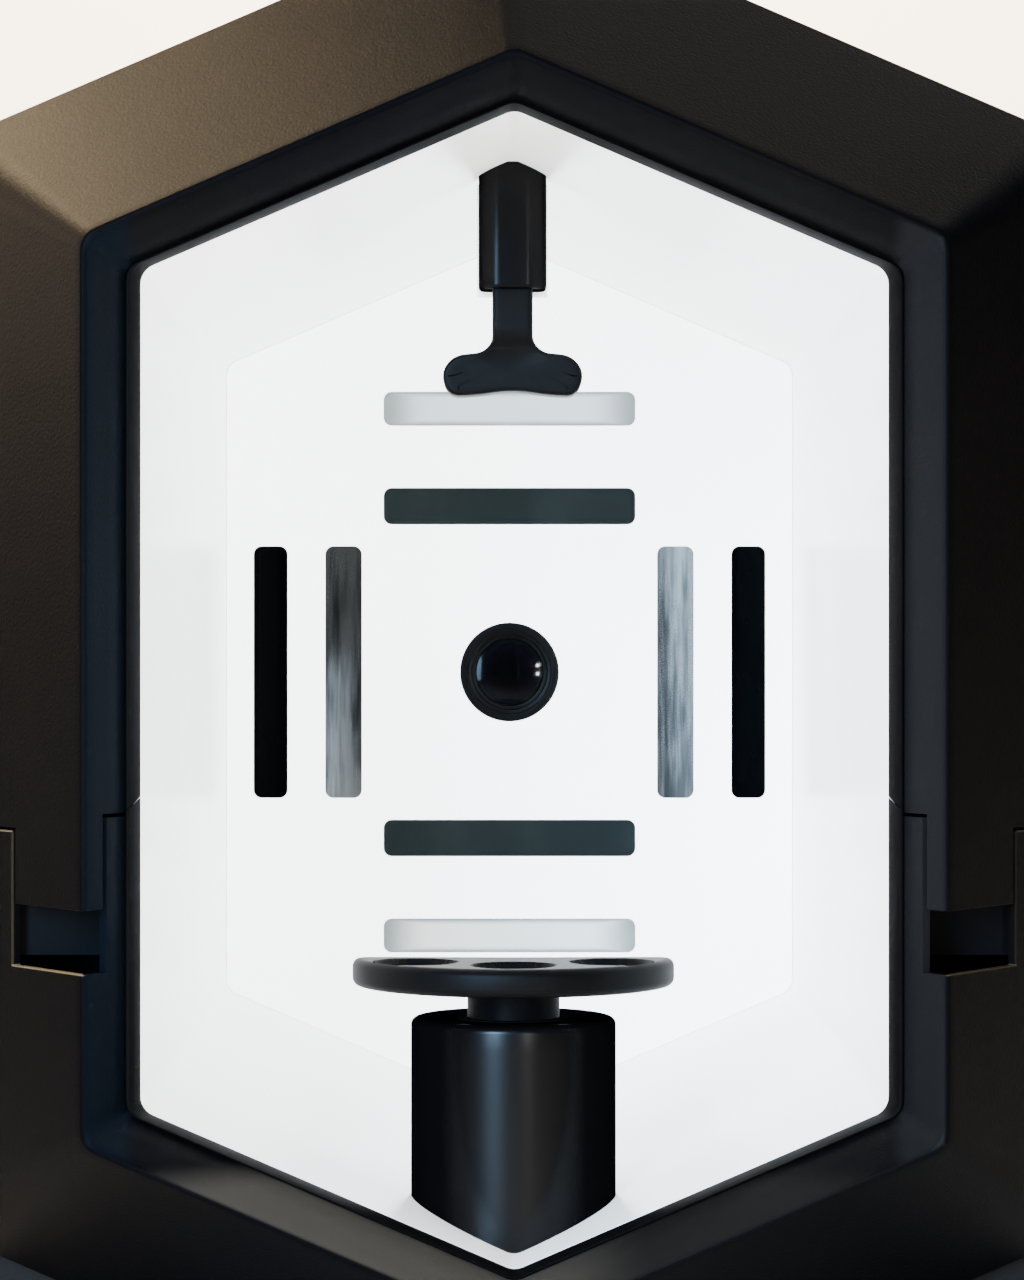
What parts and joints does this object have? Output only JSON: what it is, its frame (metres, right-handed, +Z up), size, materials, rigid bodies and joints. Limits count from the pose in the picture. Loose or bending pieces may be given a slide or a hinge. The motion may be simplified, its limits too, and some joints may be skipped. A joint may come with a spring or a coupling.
{
  "type": "face imaging booth",
  "caption": "Table-top face imaging booth: faceted black housing, white light chamber, chin and forehead rests, camera with light windows, hinged front cowl.",
  "frame": {"origin": "middle of the rubber feet on the table", "axes": "+X to the viewer's right of the opening, +Y from the opening to the back, +Z up"},
  "size_m": [0.344, 0.44, 0.4961],
  "materials": {
    "shell_black": "soft-touch matte black",
    "cover_black": "fine-textured matte black",
    "plinth_grey": "dark grey, fine texture",
    "bezel_grey": "satin dark grey",
    "sheet_metal": "plain sheet",
    "zinc_steel": "zinc-plated",
    "dark_plastic": "moulded, matte",
    "liner_white": "semi-gloss white",
    "panel_white": "satin white",
    "black_glass": "black polished glass",
    "mirror_film": "mirror film on glass",
    "green_glass": "dark green filter glass",
    "opal": "opal diffuser",
    "circuit_green": "solder-masked board",
    "lamp_yellow": "phosphor over the lamp chip",
    "anodised_black": "black anodised",
    "lens_glass": "coated lens",
    "black_screw": "black oxide",
    "button_plastic": "gloss",
    "socket_plastic": "gloss",
    "socket_steel": "plated",
    "fan_plastic": "moulded",
    "satin_black": "satin black",
    "rest_grey": "dark silicone-coated plastic",
    "bushing_white": "acetal",
    "foot_rubber": "matte"
  },
  "bodies": {
    "booth": {"lower_front_shell": "shell_black", "rear_housing": "shell_black", "back_cover": "cover_black", "plinth": "plinth_grey", "plinth_bottom_plate": "sheet_metal", "lower_bezel": "bezel_grey", "hinge_pin": "zinc_steel", "catch_magnets": "zinc_steel", "front_bulkhead": "sheet_metal", "rear_bulkhead": "sheet_metal", "catch_blocks": "dark_plastic", "light_chamber_liner": "liner_white", "rear_light_panel": "panel_white", "sleeve_backing": "liner_white", "uv_windows": "black_glass", "mirror_windows": "mirror_film", "dark_filter_windows": "green_glass", "opal_diffusers": "opal", "led_boards": "circuit_green", "led_chips": "lamp_yellow", "lens_barrel": "anodised_black", "lens_retaining_ring": "anodised_black", "lens_front_glass": "lens_glass", "camera_body": "anodised_black", "camera_bracket": "sheet_metal", "cover_pillars": "zinc_steel", "back_cover_screws": "black_screw", "bottom_plate_screws": "black_screw", "power_button_bezel": "dark_plastic", "button_switch": "dark_plastic", "control_board": "circuit_green", "board_standoffs": "zinc_steel", "power_supply": "sheet_metal", "dc_inlet": "socket_plastic", "usb_sockets": "socket_steel", "fan_frame": "fan_plastic", "forehead_sleeve": "satin_black", "chin_column": "satin_black", "column_bushing": "bushing_white", "rubber_feet": "foot_rubber"},
    "cowl": {"upper_cowl": "shell_black", "upper_bezel": "bezel_grey", "strike_plates": "zinc_steel"},
    "forehead": {"forehead_rest": "rest_grey"},
    "chin": {"chin_stem": "anodised_black", "chin_plate": "rest_grey"},
    "focus": {"lens_focus_ring": "anodised_black"},
    "fan": {"fan_rotor": "fan_plastic"},
    "button": {"power_button": "button_plastic"}
  },
  "joints": [
    {"name": "cowl_hinge", "type": "hinge", "parent": "booth", "child": "cowl", "pos_m": [0, -0.1495, 0.4911], "axis": [-1, 0, 0], "range_deg": [0, 70]},
    {"name": "forehead_rest_slide", "type": "slide", "parent": "booth", "child": "forehead", "axis": [0, 0, 1], "range_m": [-0.012, 0.01]},
    {"name": "chin_rest_slide", "type": "slide", "parent": "booth", "child": "chin", "axis": [0, 0, 1], "range_m": [-0.008, 0.025]},
    {"name": "focus_ring_turn", "type": "hinge", "parent": "booth", "child": "focus", "pos_m": [0, 0.17, 0.254], "axis": [0, 1, 0], "range_deg": [-60, 60]},
    {"name": "fan_spin", "type": "hinge", "parent": "booth", "child": "fan", "pos_m": [0, 0.207, 0.347], "axis": [0, 1, 0], "continuous": true},
    {"name": "power_button_press", "type": "slide", "parent": "booth", "child": "button", "axis": [0, -1, 0], "range_m": [0, 0.0025], "stiffness_N_per_m": 400, "springref_m": -0.001}
  ]
}
